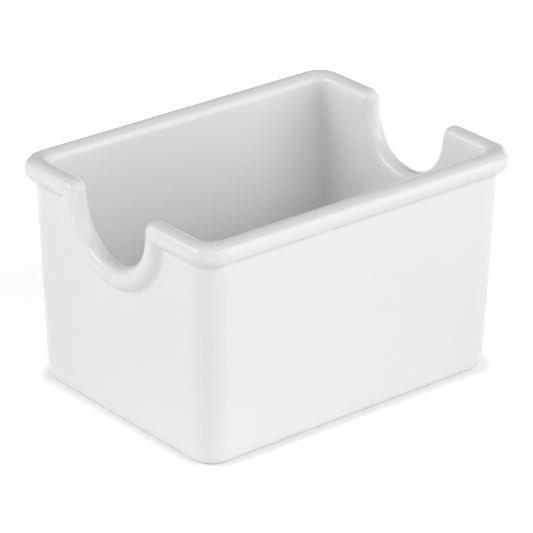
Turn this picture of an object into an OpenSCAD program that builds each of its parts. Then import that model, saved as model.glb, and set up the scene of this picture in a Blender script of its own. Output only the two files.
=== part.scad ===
/* [Body] */
// Outside length of the body where its walls reach the table
base_l = 93.9; // [75:0.1:130]
// Outside width of the body where its walls reach the table
base_w = 69.1; // [56:0.1:110]
// Height from the table to the top of the rim
body_h = 60.3; // [46:0.1:90]
// Thickness of the four walls
wall_t = 3.6; // [2.8:0.1:4.4]
// Thickness of the floor
floor_t = 3.4; // [2.4:0.1:6]
// Lean of each wall from the upright, in degrees, which lets the moulding leave its tool
draft = 1.65; // [0.5:0.05:3]
// Radius of the four upright corners, outside
corner_r = 6.8; // [5.6:0.1:9]
// Radius of the bottom edge, outside
foot_edge_r = 2.3; // [1:0.1:3.2]
// Radius of the four upright corners, inside
inner_corner_r = 3; // [2.2:0.1:6]
// Radius between the floor and the walls, inside
inner_foot_r = 1.8; // [0.8:0.1:2.1]

/* [Rim] */
// Diameter of the round bead that runs along the rim and round both notches
bead_d = 5.84; // [5.2:0.02:6.6]
// Radius of the rim's outermost line at the four corners, seen from above
rim_corner_r = 7.3; // [6.8:0.1:10]

/* [Finger notches] */
// Radius of the bowl of each notch, measured to its open edge
notch_r = 13.5; // [9:0.1:16]
// Depth of each notch below the top of the rim
notch_depth = 17.2; // [10:0.1:24]
// Lean of each notch side from the upright, in degrees
notch_flare = 7.5; // [4:0.5:12]

/* [Underside] */
// Width of the flat band that the holder stands on
band_w = 5; // [3.4:0.1:9]
// Depth of the panel sunk inside that band
panel_depth = 0.7; // [0.3:0.1:1.2]
// Diameter of the round mark that the moulding gate leaves in the sunk panel
gate_d = 4.4; // [2:0.1:8]
// Height of the gate mark, which stays above the table
gate_h = 0.35; // [0.1:0.05:0.6]

/* [Hidden] */
$fn = 96;
bead_r = bead_d / 2;
// The bead stands a hair proud of the inner wall face, so that the two surfaces cross
inner_step = 0.07;
bead_inset = wall_t - bead_r + inner_step;
// A rounded edge stands out by these shares of its radius, so that it crosses the flat faces beside it
corner_lift_share = 0.003;
edge_lift_share = 0.02;
shoulder_lift_share = 0.006;
// Overrun of every cut and of every shape that is cut back
overrun = 2;
centre_z = body_h - bead_r;
// The bead's centre line on the rim, and its radius at the rim's corners
rim_half_l = base_l / 2 + centre_z * tan(draft) - bead_inset;
rim_half_w = base_w / 2 + centre_z * tan(draft) - bead_inset;
rim_turn_r = rim_corner_r - bead_r;
// The bead's centre line round a notch, in the plane of the leaning wall, from the rim's centre line
bowl_r = notch_r + bead_r;
bowl_drop = notch_depth - bowl_r;
leg_drop = bowl_drop + bowl_r * sin(notch_flare);
leg_l = leg_drop / cos(notch_flare);
shoulder_y = bowl_r * cos(notch_flare) + leg_drop * tan(notch_flare);
bowl_steps = 24;

// Four-sided block whose sides lean outward, sized where it crosses height zero
module leaning_block(half_l, half_w, lean, low, high) {
    intersection() {
        rotate([90, 0, 90])
            leaning_prism(half_w, half_l + high + overrun, lean, low, high);
        rotate([90, 0, 0])
            leaning_prism(half_l, half_w + high + overrun, lean, low, high);
    }
}

module leaning_prism(half, reach, lean, low, high) {
    foot = half + low * tan(lean);
    head = half + high * tan(lean);
    linear_extrude(height = 2 * reach, center = true)
        polygon([[-foot, low], [foot, low], [head, high], [-head, high]]);
}

// Upright round corners that lean with the two walls they join
module leaning_posts(half_l, half_w, r, lean, low, high) {
    tilt = atan(tan(lean) * sqrt(2));
    for (sx = [-1, 1], sy = [-1, 1])
        translate([sx * (half_l - r / cos(lean)), sy * (half_w - r / cos(lean)), 0])
            rotate([0, tilt, atan2(sy, sx)])
                translate([0, 0, low - r])
                    cylinder(h = high - low + 2 * r, r = r * (1 + corner_lift_share));
}

// Leaning block with round upright corners
module leaning_tub(half_l, half_w, r, lean, low, high) {
    intersection() {
        leaning_block(half_l, half_w, lean, low, high);
        union() {
            leaning_block(half_l - r * cos(lean), half_w + overrun, lean, low - overrun, high + overrun);
            leaning_block(half_l + overrun, half_w - r * cos(lean), lean, low - overrun, high + overrun);
            leaning_posts(half_l, half_w, r, lean, low - overrun, high + overrun);
        }
    }
}

// Section of a bottom edge: a round nose of radius edge_r that reaches out to reach
module edge_section(reach, edge_r) {
    intersection() {
        translate([0, -overrun])
            square([reach + 2 * overrun, edge_r + 2 * overrun]);
        union() {
            translate([reach - edge_r, edge_r])
                circle(r = edge_r * (1 + edge_lift_share));
            square([reach - edge_r, 2 * edge_r]);
            translate([0, edge_r])
                square([reach + overrun, edge_r]);
        }
    }
}

// The space that a rounded bottom edge leaves, open above it
module rounded_foot(half_l, half_w, r, edge_r, lean, high) {
    reach_l = half_l + edge_r * tan(lean) + edge_r * (1 - 1 / cos(lean));
    reach_w = half_w + edge_r * tan(lean) + edge_r * (1 - 1 / cos(lean));
    for (side = [0, 1])
        mirror([side, 0, 0])
            rotate([90, 0, 0])
                linear_extrude(height = 2 * (reach_w - r), center = true)
                    edge_section(reach_l, edge_r);
    for (side = [0, 1])
        mirror([0, side, 0])
            rotate([90, 0, 90])
                linear_extrude(height = 2 * (reach_l - r), center = true)
                    edge_section(reach_w, edge_r);
    for (sx = [0, 1], sy = [0, 1])
        mirror([sx, 0, 0])
            mirror([0, sy, 0])
                translate([reach_l - r, reach_w - r, 0])
                    rotate_extrude(angle = 90)
                        edge_section(r, edge_r);
    translate([-half_l - high, -half_w - high, edge_r * (1 + edge_lift_share)])
        cube([2 * (half_l + high), 2 * (half_w + high), high]);
}

// Leaning tub with a rounded bottom edge
module rounded_tub(half_l, half_w, r, edge_r, lean, high) {
    intersection() {
        leaning_tub(half_l, half_w, r, lean, 0, high);
        rounded_foot(half_l, half_w, r, edge_r, lean, high);
    }
}

// Places its children on the plane of the leaning short wall, at the rim's centre line
module on_short_wall() {
    for (side = [0, 1])
        mirror([side, 0, 0])
            translate([rim_half_l, 0, centre_z])
                rotate([0, draft, 0])
                    rotate([90, 0, 90])
                        children();
}

// Outline of the wall that a notch takes away, up to the bead's centre line
module notch_outline() {
    arc = [for (i = [0:bowl_steps]) 180 + notch_flare + i * (180 - 2 * notch_flare) / bowl_steps];
    head = shoulder_y + overrun * tan(notch_flare);
    polygon(concat(
        [for (a = arc) [bowl_r * cos(a), bowl_r * sin(a) - bowl_drop]],
        [[head, overrun], [-head, overrun]]
    ));
}

module notch_cut() {
    on_short_wall()
        linear_extrude(height = 4 * wall_t, center = true)
            notch_outline();
}

// Bead round one notch: two shoulders, two leaning legs and the bowl
module notch_bead() {
    translate([0, -bowl_drop, 0])
        rotate_extrude(angle = 180 - 2 * notch_flare, start = 180 + notch_flare)
            translate([bowl_r, 0])
                circle(r = bead_r);
    for (side = [0, 1])
        mirror([side, 0, 0])
            translate([shoulder_y, 0, 0]) {
                sphere(r = bead_r * (1 + shoulder_lift_share));
                rotate([90, 0, -notch_flare])
                    cylinder(h = leg_l, r = bead_r);
            }
}

// Bead along the rim, left open where the notches are
module rim_bead() {
    for (side = [0, 1])
        mirror([0, side, 0])
            translate([0, rim_half_w, centre_z])
                rotate([0, 90, 0])
                    cylinder(h = 2 * (rim_half_l - rim_turn_r), r = bead_r, center = true);
    for (sx = [0, 1], sy = [0, 1])
        mirror([sx, 0, 0])
            mirror([0, sy, 0]) {
                translate([rim_half_l - rim_turn_r, rim_half_w - rim_turn_r, centre_z])
                    rotate_extrude(angle = 90)
                        translate([rim_turn_r, 0])
                            circle(r = bead_r);
                translate([rim_half_l, rim_half_w - rim_turn_r, centre_z])
                    rotate([90, 0, 0])
                        cylinder(h = rim_half_w - rim_turn_r - shoulder_y, r = bead_r);
            }
}

// Walls and floor, open at the top
module shell() {
    inner_half_l = base_l / 2 - wall_t / cos(draft) + floor_t * tan(draft);
    inner_half_w = base_w / 2 - wall_t / cos(draft) + floor_t * tan(draft);
    difference() {
        rounded_tub(base_l / 2, base_w / 2, corner_r, foot_edge_r, draft, centre_z);
        translate([0, 0, floor_t])
            rounded_tub(inner_half_l, inner_half_w, inner_corner_r, inner_foot_r, draft, body_h);
    }
}

// Panel sunk into the underside
module sunk_panel() {
    leaning_tub(base_l / 2 - band_w, base_w / 2 - band_w, inner_corner_r, 0, -overrun, panel_depth);
}

module gate_mark() {
    translate([0, 0, panel_depth - gate_h])
        cylinder(h = floor_t - panel_depth, d = gate_d);
}

module holder_body() {
    color("white") {
        difference() {
            shell();
            notch_cut();
            sunk_panel();
        }
        rim_bead();
        on_short_wall() notch_bead();
        gate_mark();
    }
}

holder_body();
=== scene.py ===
# %% [markdown]
# A holder for sugar packets, dressed in Blender
# The real holder is one glossy white moulding: an open box whose four walls lean outward a little,
# with a round bead along the rim that dips round a finger notch in each short wall. The packed
# solid is loaded first and stays fixed. Its surface is made of flat facets, which show in a gloss
# as bright as this, so a smooth skin of the same sizes is made here and takes its place.

# %% Load the frame
import math

import bmesh
import bpy
import numpy as np
from mathutils import Matrix, Vector


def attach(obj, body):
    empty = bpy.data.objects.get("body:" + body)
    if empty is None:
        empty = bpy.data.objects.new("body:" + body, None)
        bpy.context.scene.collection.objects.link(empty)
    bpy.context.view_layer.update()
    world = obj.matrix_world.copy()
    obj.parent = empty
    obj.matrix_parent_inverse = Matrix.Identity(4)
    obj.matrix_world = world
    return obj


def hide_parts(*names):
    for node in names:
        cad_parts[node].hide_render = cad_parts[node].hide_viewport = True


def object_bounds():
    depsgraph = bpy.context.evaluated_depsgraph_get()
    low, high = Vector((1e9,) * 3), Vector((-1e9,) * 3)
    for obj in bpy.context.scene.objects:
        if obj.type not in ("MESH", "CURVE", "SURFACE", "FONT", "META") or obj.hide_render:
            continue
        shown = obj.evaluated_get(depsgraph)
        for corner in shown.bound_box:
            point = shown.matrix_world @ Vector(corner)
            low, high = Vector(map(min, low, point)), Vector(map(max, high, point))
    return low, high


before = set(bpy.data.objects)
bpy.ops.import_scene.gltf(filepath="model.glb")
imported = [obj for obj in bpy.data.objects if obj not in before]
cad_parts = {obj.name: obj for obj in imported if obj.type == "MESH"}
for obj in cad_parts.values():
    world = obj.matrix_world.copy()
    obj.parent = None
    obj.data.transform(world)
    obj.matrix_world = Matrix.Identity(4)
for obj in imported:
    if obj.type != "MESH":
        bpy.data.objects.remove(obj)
solid_low, solid_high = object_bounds()
print("the solid's box, mm:", [round(1000 * side, 2) for side in solid_high - solid_low])

# %% [markdown]
# Sizes of the moulding
# The walls' lean, called draft, lets the moulding slide off its tool. The bead's centre line is
# the rail that everything else hangs from. The solid's box gives the bead's outermost line, and
# the bead's radius leads from there to the centre line, so the skin fits the solid without being
# measured against it. The outer wall passes a little outside that line, and the bead just touches
# the inner wall. All lengths are in metres.

# %% Sizes, and the rail's place from the frame
MM = 0.001
DRAFT = math.radians(1.65)
BEAD_R = 2.92 * MM
OUTER_GAP = 0.75 * MM
INNER_GAP = BEAD_R
RIM_TURN_R = 4.38 * MM
CORNER_R = 6.8 * MM
INNER_CORNER_R = 3.0 * MM
NOTCH_DEPTH = 17.2 * MM
NOTCH_FLARE = math.radians(7.5)
BOWL_R = 13.5 * MM + BEAD_R
FLOOR_T = 3.4 * MM
BAND_W = 5.0 * MM

rim_z = solid_high.z - BEAD_R
rim_half = np.array([solid_high.x, solid_high.y]) - BEAD_R
foot_half = rim_half + OUTER_GAP - rim_z * math.tan(DRAFT)
floor_half = rim_half - INNER_GAP - (rim_z - FLOOR_T) * math.tan(DRAFT)
bowl_drop = NOTCH_DEPTH - BOWL_R
leg_drop = bowl_drop + BOWL_R * math.sin(NOTCH_FLARE)
leg_length = leg_drop / math.cos(NOTCH_FLARE)
shoulder_y = BOWL_R * math.cos(NOTCH_FLARE) + leg_drop * math.tan(NOTCH_FLARE)
print("foot, mm:", np.round(2000 * foot_half, 2), "bead's centre height:", round(1000 * rim_z, 2))

# %% [markdown]
# Rounded rectangles
# Every level of the moulding is a rounded rectangle, seen from above. A rib is one section through
# the moulding. To keep the ribs straight from the foot to the rim, each keeps its place on the
# rectangle from level to level: its share of the straight sides, and its angle on the corner.

# %% Places on a rounded rectangle
STRAIGHT_ON = 0.999


def on_outline(half, corner_r, place):
    """Point and outward direction at a place of a rounded rectangle.

    The place is a share of each straight side, and an angle on the corner.
    """
    share_x, share_y, angle = place
    out = np.array([math.cos(angle), math.sin(angle)])
    point = np.array([share_x, share_y]) * (half - corner_r) + corner_r * out
    return point, out


def met_by(point, way, half, corner_r):
    """How far from a point, along a way, the outline of a rounded rectangle is, and its place."""
    straight_half = half - corner_r
    for axis, angle in ((0, 0.0), (1, math.pi / 2)):
        side = point[1 - axis]
        if way[axis] > STRAIGHT_ON and side <= straight_half[1 - axis]:
            share = side / straight_half[1 - axis]
            place = (1.0, share, angle) if axis == 0 else (share, 1.0, angle)
            return half[axis] - point[axis], place
    offset = point - straight_half
    along = offset @ way
    reach = -along + math.sqrt(along ** 2 - offset @ offset + corner_r ** 2)
    hit = offset + reach * way
    return reach, (1.0, 1.0, math.atan2(hit[1], hit[0]))


diagonal = np.array([math.sqrt(0.5), math.sqrt(0.5)])
corner_reach = met_by(
    rim_half - RIM_TURN_R * (1 - diagonal), diagonal, rim_half + OUTER_GAP, CORNER_R)[0]
print("at a corner the outer wall is", round(1000 * corner_reach, 3), "mm from the bead's centre")

# %% [markdown]
# The rail of one quarter
# The holder is the same on both sides of two planes, so one quarter is enough. Its rail starts in
# the middle of a long wall, turns the corner, runs along the short wall, swings over the notch's
# shoulder, goes down the leaning leg and ends at the bottom of the bowl. Ribs stand close together
# where the rail bends. At the shoulder a fan of ribs shares one centre, which rounds the bead off
# like a ball there. Below the bead those ribs lie on the mitre between the run and the leg.
# A boolean cut could open the notch as well, but it would leave long thin faces that spoil the
# gloss just where the light catches it.

# %% Two kinds of rib
MITRE = math.tan((math.pi / 2 - NOTCH_FLARE) / 2)
LEAN_OUT = np.array([math.cos(DRAFT), 0.0, -math.sin(DRAFT)])
LEAN_DOWN = np.array([-math.sin(DRAFT), 0.0, -math.cos(DRAFT)])
ACROSS = np.array([0.0, 1.0, 0.0])


def eased(start, end, count):
    """Values from start to end that crowd together at both ends."""
    return [start + (end - start) * (0.5 - 0.5 * math.cos(math.pi * k / count))
            for k in range(count + 1)]


def rim_rib(plan, angle):
    """A rib of the level rim: its bead centre, and the ways out of and down into its wall."""
    out = np.array([math.cos(angle), math.sin(angle)])
    return {
        "plan": plan, "out": out,
        "centre": np.array([*plan, rim_z]),
        "wall_out": np.array([*(out * math.cos(DRAFT)), -math.sin(DRAFT)]),
        "wall_in": np.array([*(out * -math.sin(DRAFT)), -math.cos(DRAFT)]),
    }


def notch_rib(y, drop, angle, slant, travel):
    """A rib of the notch's side, in the plane of the leaning short wall."""
    inward = math.cos(angle) * ACROSS + math.sin(angle) * LEAN_DOWN
    onward = -math.sin(angle) * ACROSS + math.cos(angle) * LEAN_DOWN
    return {
        "centre": np.array([rim_half[0], 0.0, rim_z]) + y * ACROSS + drop * LEAN_DOWN,
        "wall_out": LEAN_OUT, "wall_in": inward,
        "crease_in": inward + slant * onward, "travel": travel,
    }


print("a mitred rib moves sideways by", round(MITRE, 3), "of its drop")

# %% Ribs of the long wall and the corner
RUN_STEPS, ZONE_STEPS, TURN_STEPS = 10, 4, 14
CORNER_ZONE = CORNER_R - OUTER_GAP
turn = rim_half - RIM_TURN_R
zone = rim_half - CORNER_ZONE
ribs = []
for x in eased(0.0, zone[0], RUN_STEPS) + eased(zone[0], turn[0], ZONE_STEPS)[1:-1]:
    ribs.append(rim_rib(np.array([x, rim_half[1]]), math.pi / 2))
for k in range(TURN_STEPS + 1):
    angle = math.pi / 2 * (1 - k / TURN_STEPS)
    ribs.append(rim_rib(turn + RIM_TURN_R * np.array([math.cos(angle), math.sin(angle)]), angle))
for y in eased(turn[1], zone[1], ZONE_STEPS)[1:-1]:
    ribs.append(rim_rib(np.array([rim_half[0], y]), 0.0))
print("ribs up to the short wall:", len(ribs))

# %% Ribs of the short wall and the notch
SHOULDER_STEPS, LEG_STEPS, BOWL_STEPS = 12, 4, 26
MITRE_REACH = 9.0 * MM
run = zone[1] - shoulder_y
swing = math.pi / 2 - NOTCH_FLARE


def mitre_left(gone):
    """How much of the mitre's lean is left this far down the notch's side."""
    return MITRE * max(0.0, 1 - gone / (leg_length + MITRE_REACH))


for y in eased(zone[1], shoulder_y, RUN_STEPS)[:-1]:
    rib = rim_rib(np.array([rim_half[0], y]), 0.0)
    rib["travel"] = zone[1] - y
    rib["crease_in"] = rib["wall_in"] + MITRE * (1 - (y - shoulder_y) / run) * ACROSS
    ribs.append(rib)
for k in range(SHOULDER_STEPS + 1):
    rib = notch_rib(shoulder_y, 0.0, math.pi / 2 - swing * k / SHOULDER_STEPS, 0.0, run)
    rib["crease_in"] = LEAN_DOWN + MITRE * ACROSS
    ribs.append(rib)
for k in range(1, LEG_STEPS):
    gone = leg_length * k / LEG_STEPS
    ribs.append(notch_rib(
        shoulder_y - gone * math.sin(NOTCH_FLARE), gone * math.cos(NOTCH_FLARE), NOTCH_FLARE,
        mitre_left(gone), run + gone))
for k in range(BOWL_STEPS + 1):
    angle = NOTCH_FLARE + swing * k / BOWL_STEPS
    gone = leg_length + BOWL_R * (angle - NOTCH_FLARE)
    ribs.append(notch_rib(
        BOWL_R * math.cos(angle), bowl_drop + BOWL_R * math.sin(angle), angle,
        mitre_left(gone), run + gone))
print("ribs in a quarter:", len(ribs))

# %% [markdown]
# Where each rib meets the walls and the floor
# A rib that belongs to the level rim looks straight out and straight in to find the wall faces.
# Ribs round the notch spread out evenly along the foot instead, so that the wall below the bowl
# fills with a fan and no two ribs cross.

# %% Outline places of every rib
whole_travel = ribs[-1]["travel"]
for rib in ribs:
    if "travel" in rib:
        outer_place = inner_place = (1.0, 1 - rib["travel"] / whole_travel, 0.0)
        rib["outer_gap"], rib["inner_gap"] = OUTER_GAP, INNER_GAP
    else:
        rib["crease_in"] = rib["wall_in"]
        rib["outer_gap"], outer_place = met_by(
            rib["plan"], rib["out"], rim_half + OUTER_GAP, CORNER_R)
        reach, inner_place = met_by(rib["plan"], rib["out"], rim_half - INNER_GAP, INNER_CORNER_R)
        rib["inner_gap"] = -reach
    for name, half, corner_r, place in (
            ("foot", foot_half, CORNER_R, outer_place),
            ("panel", foot_half - BAND_W, INNER_CORNER_R, outer_place),
            ("floor", floor_half, INNER_CORNER_R, inner_place)):
        point, out = on_outline(half, corner_r, place)
        rib[name], rib[name + "_out"] = np.array([*point, 0.0]), np.array([*out, 0.0])
    rib["gate_out"] = rib["panel"] / np.linalg.norm(rib["panel"])
inner_gaps = [rib["inner_gap"] for rib in ribs]
print("bead centre to inner wall, mm:", round(1000 * min(inner_gaps), 2),
      "to", round(1000 * max(inner_gaps), 2))

# %% [markdown]
# The rail as points
# Geometry Nodes can't read a Python list, so the rail becomes a mesh of loose points, and what
# belongs to a rib travels with its point as named attributes.

# %% The rail as loose points that carry their rib
RIB_WAYS = ("wall_out", "wall_in", "crease_in", "foot", "foot_out", "panel", "floor", "floor_out",
            "gate_out")
RIB_GAPS = ("outer_gap", "inner_gap")
rail_mesh = bpy.data.meshes.new("rail")
rail_mesh.from_pydata([rib["centre"] for rib in ribs], [], [])
for name in RIB_WAYS:
    layer = rail_mesh.attributes.new(name, "FLOAT_VECTOR", "POINT")
    layer.data.foreach_set("vector", np.ravel([rib[name] for rib in ribs]))
for name in RIB_GAPS:
    layer = rail_mesh.attributes.new(name, "FLOAT", "POINT")
    layer.data.foreach_set("value", [rib[name] for rib in ribs])
print("the rail's points carry:", ", ".join(RIB_WAYS + RIB_GAPS))

# %% [markdown]
# Node maths as Python
# Node trees are long to write out by hand. A small class wraps one output socket, so that a sum or
# product in Python adds the node that works it out, for numbers and for vectors alike. A second
# class holds the tree, and one method of it adds every other node. The two nodes that the
# materials use most, a soft step and a mix of colours, have short names. The same classes serve
# the shape, the plastic, the floor and the world.

# %% Wires
class Wire:
    """A node's output, with the arithmetic that adds nodes behind it."""

    def __init__(self, tree, socket):
        self.tree, self.socket = tree, socket

    def __add__(self, other):
        return self.tree.maths("ADD", self, other)

    def __sub__(self, other):
        return self.tree.maths("SUBTRACT", self, other)

    def __rsub__(self, other):
        return self.tree.maths("SUBTRACT", other, self)

    def __mul__(self, other):
        if is_vector(self) and not is_vector(other):
            return self.tree.node("ShaderNodeVectorMath", {"operation": "SCALE"},
                                  {0: self, "Scale": other})
        if is_vector(other) and not is_vector(self):
            return other * self
        return self.tree.maths("MULTIPLY", self, other)

    def __truediv__(self, other):
        return self.tree.maths("DIVIDE", self, other)

    def __neg__(self):
        return self * -1

    def __pow__(self, other):
        return self.tree.maths("POWER", self, other)

    __radd__ = __add__
    __rmul__ = __mul__


def is_vector(value):
    """Whether a wire or a plain value is a vector."""
    return value.socket.type == "VECTOR" if isinstance(value, Wire) else isinstance(value, tuple)


print("a wire knows how to:", ", ".join(
    name.strip("_") for name, part in vars(Wire).items() if callable(part) and "init" not in name))

# %% Trees
class Tree:
    """A node tree with one method that adds any node."""

    def __init__(self, tree):
        self.tree = tree

    def node(self, kind, settings=None, values=None, out=0):
        """Adds a node, sets it, fills or links its inputs, and gives one of its outputs."""
        made = self.tree.nodes.new(kind)
        for name, value in (settings or {}).items():
            setattr(made, name, value)
        for key, value in (values or {}).items():
            for part in value if isinstance(value, list) else [value]:
                if isinstance(part, Wire):
                    self.tree.links.new(part.socket, made.inputs[key])
                else:
                    made.inputs[key].default_value = part
        return Wire(self, made.outputs[out]) if made.outputs else None

    def maths(self, operation, *values):
        """A Math node, or a Vector Math node where a value is a vector."""
        kind = "ShaderNodeVectorMath" if any(map(is_vector, values)) else "ShaderNodeMath"
        return self.node(kind, {"operation": operation}, dict(enumerate(values)))

    def faded(self, value, low, high, at_low=0.0, at_high=1.0):
        """Turns a value's range from low to high into another range, with soft ends."""
        return self.node("ShaderNodeMapRange", {"interpolation_type": "SMOOTHSTEP"}, {
            "Value": value, "From Min": low, "From Max": high, "To Min": at_low,
            "To Max": at_high})

    def mixed(self, share, first, second):
        """One colour into another by a share."""
        return self.node("ShaderNodeMix", {"data_type": "RGBA"}, {0: share, 6: first, 7: second},
                         out=2)


def shape_tree(name, inputs):
    """A Geometry Nodes tree with named inputs, each given as a wire, and one geometry output."""
    group = bpy.data.node_groups.new(name, "GeometryNodeTree")
    for label, kind in inputs.items():
        group.interface.new_socket(label, in_out="INPUT", socket_type="NodeSocket" + kind)
    group.interface.new_socket("Geometry", in_out="OUTPUT", socket_type="NodeSocketGeometry")
    entry = group.nodes.new("NodeGroupInput")
    tree = Tree(group)
    return tree, {label: Wire(tree, entry.outputs[label]) for label in inputs}


def node_tree(owner):
    """The emptied node tree of a material or a world."""
    owner.use_nodes = True
    owner.node_tree.nodes.clear()
    return Tree(owner.node_tree)


def grey(level):
    """A grey as a colour socket takes it."""
    return (level, level, level, 1.0)


print("a middle grey for a colour socket:", grey(0.5))

# %% [markdown]
# One band of the skin
# The moulding's skin is a row of bands, each swept along the rail: a flat, a fillet or a part of
# the bead. Every one is a piece of an ellipse in each rib: a middle plus two half axes, turned
# from one angle to another. A straight band is the same thing with one half axis left out, and
# then its rows crowd together at both ends, so that the shading of a flat meets a fillet cleanly.
# The grid's rows and columns become steps across the band and ribs along the rail. Curve to Mesh
# would sweep one fixed section only, and here the section changes from rib to rib.

# %% The band's tree
band_tree, band = shape_tree("band along the rail", {
    "Rail": "Geometry", "Steps": "Int", "Middle": "Vector", "First axis": "Vector",
    "Second axis": "Vector", "From": "Float", "To": "Float"})
rib_count = band_tree.node("GeometryNodeAttributeDomainSize", {"component": "MESH"},
                           {"Geometry": band["Rail"]})
row_length = band["Steps"] + 1
grid = band_tree.node("GeometryNodeMeshGrid", {}, {
    "Vertices X": rib_count, "Vertices Y": row_length})
grid_place = band_tree.node("GeometryNodeInputIndex")
rib_number = band_tree.maths("FLOOR", grid_place / row_length)
step_share = (grid_place - rib_number * row_length) / band["Steps"]


def at_rib(value, data_type):
    """The value that a field has at this grid point's rib."""
    return band_tree.node("GeometryNodeSampleIndex", {"data_type": data_type}, {
        "Geometry": band["Rail"], "Value": value, "Index": rib_number})


band_start, band_end = at_rib(band["From"], "FLOAT"), at_rib(band["To"], "FLOAT")
band_angle = band_start + (band_end - band_start) * step_share
band_point = (
    at_rib(band["Middle"], "FLOAT_VECTOR")
    + at_rib(band["First axis"], "FLOAT_VECTOR") * band_tree.maths("COSINE", band_angle)
    + at_rib(band["Second axis"], "FLOAT_VECTOR") * band_tree.maths("SINE", band_angle))
swept = band_tree.node("GeometryNodeSetPosition", {}, {"Geometry": grid, "Position": band_point})
band_tree.node("NodeGroupOutput", {}, {"Geometry": swept})
print("the band's tree has", len(band_tree.tree.nodes), "nodes")

# %% [markdown]
# The whole skin
# The bands follow the section from the middle of the underside, out to the foot, up the outer
# wall, over the bead, down the inner wall and back to the middle of the floor. A small fillet lies
# where the bead meets the outer wall. Inside, bead and wall run into each other. Each small step
# of the underside is two quarter rounds. The last nodes mirror the quarter twice and weld the
# seams. Every named size is an input of the tree, so a change of size needs no change of nodes.

# %% The skin's tree and its named inputs
skin_tree, skin = shape_tree("holder skin", {
    "Geometry": "Geometry", "Lean": "Float", "Bead radius": "Float", "Crease radius": "Float",
    "Foot radius": "Float", "Inner foot radius": "Float", "Floor thickness": "Float",
    "Panel depth": "Float", "Gate radius": "Float", "Gate height": "Float", "Weld": "Float",
    "Material": "Material"})
centre = skin_tree.node("GeometryNodeInputPosition")
at = {name: skin_tree.node("GeometryNodeInputNamedAttribute", {"data_type": kind}, {"Name": name})
      for names, kind in ((RIB_WAYS, "FLOAT_VECTOR"), (RIB_GAPS, "FLOAT")) for name in names}
lean_sin = skin_tree.maths("SINE", skin["Lean"])
lean_cos = skin_tree.maths("COSINE", skin["Lean"])
fillet_in = (1 - lean_sin) / lean_cos
print("the skin's named sizes:", ", ".join(list(skin)[1:]))

# %% Helpers for its bands
skin_bands = []


def raised(height):
    """A vector straight up."""
    return skin_tree.node("ShaderNodeCombineXYZ", {}, {"Z": height})


def corner_hub(foot, out, radius, height):
    """Middle and tangent point of a fillet between a level face and the leaning wall on it."""
    hub = foot - out * (radius * fillet_in) + raised(radius + height)
    return hub, hub + (out * lean_cos - raised(lean_sin)) * radius


def curved(steps, middle, first, second, start, end):
    """Adds a band that is part of an ellipse."""
    skin_bands.append(skin_tree.node("GeometryNodeGroup", {"node_tree": band_tree.tree}, {
        "Rail": skin["Geometry"], "Steps": steps, "Middle": middle, "First axis": first,
        "Second axis": second, "From": start, "To": end}))


def straight(steps, start, end):
    """Adds a flat band between two lines."""
    curved(steps, (start + end) * 0.5, (start - end) * 0.5, (0.0, 0.0, 0.0), 0.0, math.pi)


print("bands so far:", len(skin_bands))

# %% Underside: gate mark, sunk panel, and the band that it stands on
HALF_TURN, QUARTER_TURN = math.pi, math.pi / 2
NARROW_STEPS, WIDE_STEPS = 4, 8
GATE_STEPS, PANEL_STEPS, FOOT_STEPS = 4, 5, 9
panel_z, gate_h = skin["Panel depth"], skin["Gate height"]
gate_round, panel_round = gate_h * 0.5, panel_z * 0.5
gate_edge = at["gate_out"] * skin["Gate radius"] + raised(panel_z - gate_round)
gate_step, gate_rise = at["gate_out"] * gate_round, raised(gate_round)
straight(NARROW_STEPS, raised(panel_z - gate_h), gate_edge - gate_step - gate_rise)
curved(GATE_STEPS, gate_edge - gate_step, gate_step, gate_rise, -QUARTER_TURN, 0.0)
curved(GATE_STEPS, gate_edge + gate_step, gate_step, gate_rise, HALF_TURN, QUARTER_TURN)

panel_edge = at["panel"] + raised(panel_round)
panel_step, panel_rise = at["foot_out"] * panel_round, raised(panel_round)
straight(WIDE_STEPS, gate_edge + gate_step + gate_rise, panel_edge - panel_step + panel_rise)
curved(PANEL_STEPS, panel_edge - panel_step, panel_step, panel_rise, QUARTER_TURN, 0.0)
curved(PANEL_STEPS, panel_edge + panel_step, panel_step, panel_rise,
       HALF_TURN, HALF_TURN + QUARTER_TURN)

foot_r = skin["Foot radius"]
foot_hub, foot_top = corner_hub(at["foot"], at["foot_out"], foot_r, 0.0)
straight(NARROW_STEPS, panel_edge + panel_step - panel_rise, foot_hub - raised(foot_r))
curved(FOOT_STEPS, foot_hub, at["foot_out"] * foot_r, raised(foot_r),
       -QUARTER_TURN, -skin["Lean"])
print("bands so far:", len(skin_bands))

# %% Outer wall, crease and bead
WALL_STEPS, CREASE_STEPS, BEAD_STEPS = 12, 7, 10
bead_r, crease_r = skin["Bead radius"], skin["Crease radius"]
crease_out = at["outer_gap"] + crease_r
crease_drop = skin_tree.maths("SQRT", (bead_r + crease_r) ** 2 - crease_out ** 2)
crease_turn = skin_tree.maths("ARCTAN2", crease_drop, crease_out)
crease_hub = centre + at["wall_out"] * crease_out + at["crease_in"] * crease_drop
straight(WALL_STEPS, foot_top, crease_hub - at["wall_out"] * crease_r)
curved(CREASE_STEPS, crease_hub, -at["wall_out"] * crease_r, -at["crease_in"] * crease_r,
       0.0, crease_turn)
curved(CREASE_STEPS, centre, at["wall_out"] * bead_r, at["crease_in"] * bead_r, crease_turn, 0.0)
bead_top = -at["wall_in"] * bead_r
curved(BEAD_STEPS, centre, at["wall_out"] * bead_r, bead_top, 0.0, QUARTER_TURN)
curved(BEAD_STEPS, centre, bead_top, -at["wall_out"] * at["inner_gap"], 0.0, QUARTER_TURN)
print("bands so far:", len(skin_bands))

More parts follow.
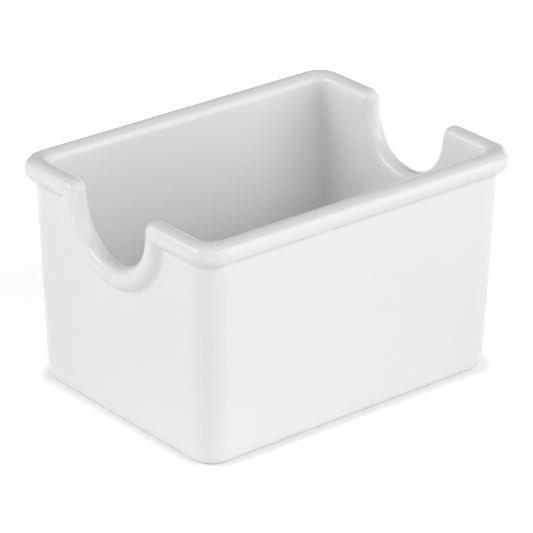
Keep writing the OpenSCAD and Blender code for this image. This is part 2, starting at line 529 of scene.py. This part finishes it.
# %% Inner wall and floor
INNER_FOOT_STEPS = 8
inner_r, floor_t = skin["Inner foot radius"], skin["Floor thickness"]
floor_hub, floor_top = corner_hub(at["floor"], at["floor_out"], inner_r, floor_t)
straight(WALL_STEPS, centre - at["wall_out"] * at["inner_gap"], floor_top)
curved(INNER_FOOT_STEPS, floor_hub, at["floor_out"] * inner_r, raised(inner_r),
       -skin["Lean"], -QUARTER_TURN)
straight(WIDE_STEPS, floor_hub - raised(inner_r), raised(floor_t))
print("bands in the whole skin:", len(skin_bands))

# %% Mirror the quarter twice, weld, and finish
def welded(parts):
    """Joins geometries and welds the points that lie together."""
    joined = skin_tree.node("GeometryNodeJoinGeometry", {}, {"Geometry": parts})
    return skin_tree.node("GeometryNodeMergeByDistance", {}, {
        "Geometry": joined, "Distance": skin["Weld"]})


whole = welded(skin_bands)
for sides in ((-1, 1, 1), (1, -1, 1)):
    turned = skin_tree.node("GeometryNodeTransform", {}, {"Geometry": whole, "Scale": sides})
    whole = welded([whole, skin_tree.node("GeometryNodeFlipFaces", {}, {"Mesh": turned})])
whole = skin_tree.node("GeometryNodeFlipFaces", {}, {"Mesh": whole})
whole = skin_tree.node("GeometryNodeSetShadeSmooth", {}, {"Geometry": whole})
whole = skin_tree.node("GeometryNodeRealizeInstances", {}, {"Geometry": whole})
whole = skin_tree.node("GeometryNodeSetMaterial", {}, {
    "Geometry": whole, "Material": skin["Material"]})
skin_tree.node("NodeGroupOutput", {}, {"Geometry": whole})
print("the skin's tree has", len(skin_tree.tree.nodes), "nodes")

# %% [markdown]
# The finish
# The real one is white plastic from a polished mould: glossy, evenly coloured and nearly bare. It
# could be one flat white, but then its gloss looks computed. Four quiet things are added from
# noise on Object coordinates, each at its own scale: a slight cloudiness of the colour, a slow
# sway of the walls with a fine orange peel on it, haze where the gloss is handled or rubs on the
# table, and a few specks of burnt resin, as such mouldings have.

# %% Patterns of the plastic
NOISE_ROUGHNESS = 0.55
WAVES_PER_METRE = {"clouds": 32.0, "sway": 55.0, "grain": 240.0, "peel": 850.0}
DETAIL = {"clouds": 2.0, "sway": 1.0, "grain": 4.0, "peel": 2.0}
plastic = bpy.data.materials.new("holder_plastic")
finish = node_tree(plastic)
spot = finish.node("ShaderNodeTexCoord", out="Object")
clouds, sway, grain, peel = (finish.node("ShaderNodeTexNoise", {}, {
    "Vector": spot, "Scale": WAVES_PER_METRE[name], "Detail": DETAIL[name],
    "Roughness": NOISE_ROUGHNESS}) for name in WAVES_PER_METRE)
height = finish.node("ShaderNodeSeparateXYZ", {}, {"Vector": spot}, out="Z")
print("waves in a metre:", WAVES_PER_METRE)

# %% Specks of burnt resin
SPECKS = ((-48.2, -30.9, 49.3), (-47.8, -2.0, 28.3))
SPECK_R = 0.24 * MM
SPECK_CELLS = 95.0
CELL_SPECK_SHRINK = 1.6
SPECK_CORE = 0.3
speck_gap = finish.node("ShaderNodeTexVoronoi", {}, {"Vector": spot, "Scale": SPECK_CELLS},
                        out="Distance") * (CELL_SPECK_SHRINK / SPECK_CELLS)
for speck in SPECKS:
    from_speck = finish.node("ShaderNodeVectorMath", {"operation": "DISTANCE"}, {
        0: spot, 1: tuple(MM * c for c in speck)}, out="Value")
    speck_gap = finish.maths("MINIMUM", speck_gap, from_speck)
speckled = finish.faded(speck_gap, SPECK_CORE * SPECK_R, SPECK_R, 1.0, 0.0)
print("specks no wider than", round(2000 * SPECK_R, 2), "mm")

# %% Haze and relief
RUB_LOW, RUB_HIGH = 0.2 * MM, 2.4 * MM
HANDLED_H = 1.6 * MM
RUB_HAZE, HAND_HAZE = 0.2, 0.03
HAZE_PATCHES = (0.38, 0.62)
SWAY_SHARE, PEEL_SHARE = 0.75, 0.05
RELIEF_STRENGTH, RELIEF_DEPTH = 0.35, 0.05 * MM
rubbed = finish.faded(height, RUB_LOW, RUB_HIGH, 1.0, 0.0)
handled = finish.faded(height, solid_high.z - HANDLED_H, solid_high.z)
haze = (rubbed * RUB_HAZE + handled * HAND_HAZE) * finish.faded(grain, *HAZE_PATCHES)
bumped = finish.node("ShaderNodeBump", {}, {
    "Strength": RELIEF_STRENGTH, "Distance": RELIEF_DEPTH,
    "Height": sway * SWAY_SHARE + peel * PEEL_SHARE})
print("haze on the lowest", round(1000 * RUB_HIGH, 1), "mm and the top",
      round(1000 * HANDLED_H, 1), "mm")

# %% The plastic's shader
WHITE, CLOUDED, BURNT = grey(0.84), grey(0.83), grey(0.42)
CLOUD_EDGES = (0.3, 0.7)
SPECK_STRENGTH = 0.35
GLOSS_ROUGHNESS, GRAIN_ROUGHNESS = 0.12, 0.03
PLASTIC_IOR = 1.49
clean = finish.mixed(finish.faded(clouds, *CLOUD_EDGES), WHITE, CLOUDED)
shader = finish.node("ShaderNodeBsdfPrincipled", {}, {
    "Base Color": finish.mixed(speckled * SPECK_STRENGTH, clean, BURNT),
    "Roughness": GLOSS_ROUGHNESS + grain * GRAIN_ROUGHNESS + haze,
    "IOR": PLASTIC_IOR, "Normal": bumped})
finish.node("ShaderNodeOutputMaterial", {}, {"Surface": shader})
print("the plastic has", len(plastic.node_tree.nodes), "nodes")

# %% [markdown]
# The holder itself
# The loose points of the rail become a mesh object, and the skin's tree is hung on it as a
# modifier with its sizes filled in. The evaluated result is then kept as a plain mesh with its
# origin at the middle of the base, and the rail goes, because other programs can't read the tree.
# A count of the open edges shows whether the skin is closed.

# %% Make the holder
rail = bpy.data.objects.new("rail", rail_mesh)
bpy.context.scene.collection.objects.link(rail)
modifier = rail.modifiers.new("skin", "NODES")
modifier.node_group = skin_tree.tree
sizes = {
    "Lean": DRAFT, "Bead radius": BEAD_R, "Crease radius": 1.6 * MM, "Foot radius": 2.3 * MM,
    "Inner foot radius": 1.8 * MM, "Floor thickness": FLOOR_T, "Panel depth": 0.7 * MM,
    "Gate radius": 2.2 * MM, "Gate height": 0.35 * MM, "Weld": 0.002 * MM, "Material": plastic}
for item in skin_tree.tree.interface.items_tree:
    if item.in_out == "INPUT" and item.name in sizes:
        modifier[item.identifier] = sizes[item.name]
bpy.context.view_layer.update()
skinned = rail.evaluated_get(bpy.context.evaluated_depsgraph_get())
holder_mesh = bpy.data.meshes.new_from_object(skinned)
bpy.data.objects.remove(rail)
holder = bpy.data.objects.new("holder", holder_mesh)
bpy.context.scene.collection.objects.link(holder)
print("the holder has", len(holder_mesh.polygons), "faces")

# %% Count its open edges and measure its volume
work = bmesh.new()
work.from_mesh(holder_mesh)
print("open edges:", sum(not edge.is_manifold for edge in work.edges),
      "volume, mm3:", round(work.calc_volume(signed=True) / MM ** 3, 1))
work.free()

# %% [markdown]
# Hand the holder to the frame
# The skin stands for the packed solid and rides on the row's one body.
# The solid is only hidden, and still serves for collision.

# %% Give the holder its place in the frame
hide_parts("holder_body")
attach(holder, "root")

# %% [markdown]
# The camera
# A long lens from far away, a little above the rim, turned towards one notch. Its place came from
# fitting the box's edges to the picture by perspective, which also gives the box's proportions. A
# camera set by eye would leave the two mixed up. The lens is worked out from the picture's width.

# %% Camera
IMAGE_W = 533
FOCAL_PIXELS = 3364.51
CAMERA_TURN, CAMERA_RISE, CAMERA_ROLL = (math.radians(a) for a in (-39.801, 24.465, 0.472))
CAMERA_DISTANCE = 850.14 * MM
LENS_SHIFT = (-0.00159, -0.01646)
TARGET_Z = 31.275 * MM
target = Vector((0.0, 0.0, TARGET_Z))


def way_to(turn_angle, rise_angle):
    """The way from the holder to something that stands round it, turned from the front."""
    return Vector((math.sin(turn_angle) * math.cos(rise_angle),
                   -math.cos(turn_angle) * math.cos(rise_angle), math.sin(rise_angle)))


back = way_to(CAMERA_TURN, CAMERA_RISE)
right = (-back).cross(Vector((0.0, 0.0, 1.0))).normalized()
above = right.cross(-back)
camera_x = math.cos(CAMERA_ROLL) * right + math.sin(CAMERA_ROLL) * above
camera_y = -math.sin(CAMERA_ROLL) * right + math.cos(CAMERA_ROLL) * above
camera_data = bpy.data.cameras.new("camera")
camera_data.lens = FOCAL_PIXELS / IMAGE_W * camera_data.sensor_width
camera_data.shift_x, camera_data.shift_y = LENS_SHIFT
camera = bpy.data.objects.new("camera", camera_data)
camera.matrix_world = Matrix.Translation(target + CAMERA_DISTANCE * back) @ Matrix(
    (camera_x, camera_y, back)).transposed().to_4x4()
bpy.context.scene.collection.objects.link(camera)
bpy.context.scene.camera = camera
print("lens, mm:", round(camera_data.lens, 1))

# %% [markdown]
# The floor
# The holder stands on plain white paper. For what the camera sees, the paper glows a little, which
# lifts it to white but keeps the shadow that the lamps give. Brighter lamps would whiten it too,
# but they would bleach the holder. Close to the foot the glow fades to a dark grey, which paints a
# soft contact shadow round the foot on top of the lamps' own. The distance to the foot is that to
# a rounded rectangle.

# %% Floor
FLOOR_REACH = 6.0
floor_mesh = bpy.data.meshes.new("floor")
floor_mesh.from_pydata([(x * FLOOR_REACH, y * FLOOR_REACH, 0.0)
                        for x, y in ((-1, -1), (1, -1), (1, 1), (-1, 1))], [], [(0, 1, 2, 3)])
floor = bpy.data.objects.new("floor", floor_mesh)
bpy.context.scene.collection.objects.link(floor)
print("the floor is", 2 * FLOOR_REACH, "m wide")

# %% How far the floor is from the foot
floor_material = bpy.data.materials.new("floor_paper")
paper = node_tree(floor_material)
floor_spot = paper.node("ShaderNodeTexCoord", out="Object")
floor_side = paper.node("ShaderNodeVectorMath", {"operation": "ABSOLUTE"}, {0: floor_spot})
past_foot = paper.maths("MAXIMUM", floor_side - (*(foot_half - CORNER_R), 0.0), (0.0, 0.0, 0.0))
from_foot = paper.node("ShaderNodeVectorMath", {"operation": "LENGTH"}, {0: past_foot},
                       out="Value") - CORNER_R
print("the foot covers, mm:", np.round(2000 * foot_half, 1))

# %% The floor's paper
FLOOR_LIFT = 0.4
# SHADED is the dark glow next to the foot, a painted contact shadow, which FOOT_SHADE spreads
# outwards.
PAPER, WHITE_OUT, SHADED = grey(0.9), grey(1.0), grey(0.2)
FOOT_SHADE = 4.2 * MM
SHADE_UNDER_FOOT = 0.2


def seen_directly(tree):
    """1 for what the camera sees, straight or in a gloss or through glass."""
    straight_on, in_gloss, through = (
        tree.node("ShaderNodeLightPath", out=name)
        for name in ("Is Camera Ray", "Is Glossy Ray", "Is Transmission Ray"))
    return tree.maths("MAXIMUM", tree.maths("MAXIMUM", straight_on, in_gloss), through)


shown = seen_directly(paper)
# Painted shadow: the glow darkens towards the foot by distance alone, on top of the lamps' shadow.
glow_past_painted_shadow = paper.faded(from_foot, -SHADE_UNDER_FOOT * FOOT_SHADE, FOOT_SHADE)
lit = paper.node("ShaderNodeBsdfDiffuse", {}, {"Color": paper.mixed(shown, PAPER, WHITE_OUT)})
glow = paper.node("ShaderNodeEmission", {}, {
    "Color": paper.mixed(glow_past_painted_shadow, SHADED, WHITE_OUT), "Strength": shown * FLOOR_LIFT})
paper.node("ShaderNodeOutputMaterial", {}, {
    "Surface": paper.node("ShaderNodeAddShader", {}, {0: lit, 1: glow})})
floor_mesh.materials.append(floor_material)
print("the glow fades over the last", round(1000 * FOOT_SHADE, 1), "mm to the foot")

# %% [markdown]
# The world
# The world does two jobs. In the gloss it is a white horizon under a dark ceiling, which keeps the
# top of the bead darker than the walls, as it is on the real one. For soft light it is a wide pale
# ring low over the floor. One even sky could do neither: it would light the top of the bead as
# much as the walls.

# %% World
RING_FOOT, RING_TOP, HORIZON_TOP = (0, 5), (24, 32), (6, 12)
RING_LEVEL = 1.1
world = bpy.data.worlds.new("world")
sky = node_tree(world)
bpy.context.scene.world = world
sky_way = sky.node("ShaderNodeTexCoord", out="Generated")
sky_z = sky.node("ShaderNodeSeparateXYZ", {}, {"Vector": sky_way}, out="Z")


def above_height(low_deg, high_deg):
    """0 below one height in the sky and 1 above another, with soft ends."""
    return sky.faded(sky_z, math.sin(math.radians(low_deg)), math.sin(math.radians(high_deg)))


ring = above_height(*RING_FOOT) * (1 - above_height(*RING_TOP)) * RING_LEVEL
horizon = 1 - above_height(*HORIZON_TOP)
direct = seen_directly(sky)
sky.node("ShaderNodeOutputWorld", {}, {"Surface": sky.node("ShaderNodeBackground", {}, {
    "Strength": ring * (1 - direct) + horizon * direct})})
print("world level of the pale ring:", RING_LEVEL)

# %% [markdown]
# Lamps
# Soft boxes stand all round, each at a plain level, so that the white renders about as it is
# written. The low ones on the left and on the right give the small bright lines in the bead and at
# the corners, and the shade that the notch's edge casts on its own flank. Light adds up, so each
# one's power could be found by rendering it alone and fitting the sum of them all to the picture.
# Below, each has its turn from the front and its rise, in degrees, and its power in watts.

# %% Lamps
LAMP_REACH = 3.0
LAMP_SIDE = 1.25
LAMPS = {
    "left_high": (-105, 35, 25),
    "left_behind": (-135, 35, 13),
    "left_behind_low": (-150, 12, 4),
    "front_left": (-35, 35, 9.5),
    "front": (0, 35, 15),
    "right_high": (35, 35, 16),
    "right_low": (45, 10, 13),
    "far_right": (80, 30, 6),
    "far_right_low": (110, 10, 9),
}
for name, (turn_deg, rise_deg, power) in LAMPS.items():
    way = way_to(math.radians(turn_deg), math.radians(rise_deg))
    lamp_data = bpy.data.lights.new(name, "AREA")
    lamp_data.size, lamp_data.energy = LAMP_SIDE, power
    lamp = bpy.data.objects.new(name, lamp_data)
    lamp.matrix_world = Matrix.Translation(target + LAMP_REACH * way) @ (
        way.to_track_quat("Z", "Y").to_matrix().to_4x4())
    bpy.context.scene.collection.objects.link(lamp)
print("lamps:", ", ".join(LAMPS))

# %% [markdown]
# Look settings
# The view transform is Standard, so a colour shows as it is written.

# %% Finish
bpy.context.scene.view_settings.view_transform = "Standard"
bpy.context.view_layer.update()
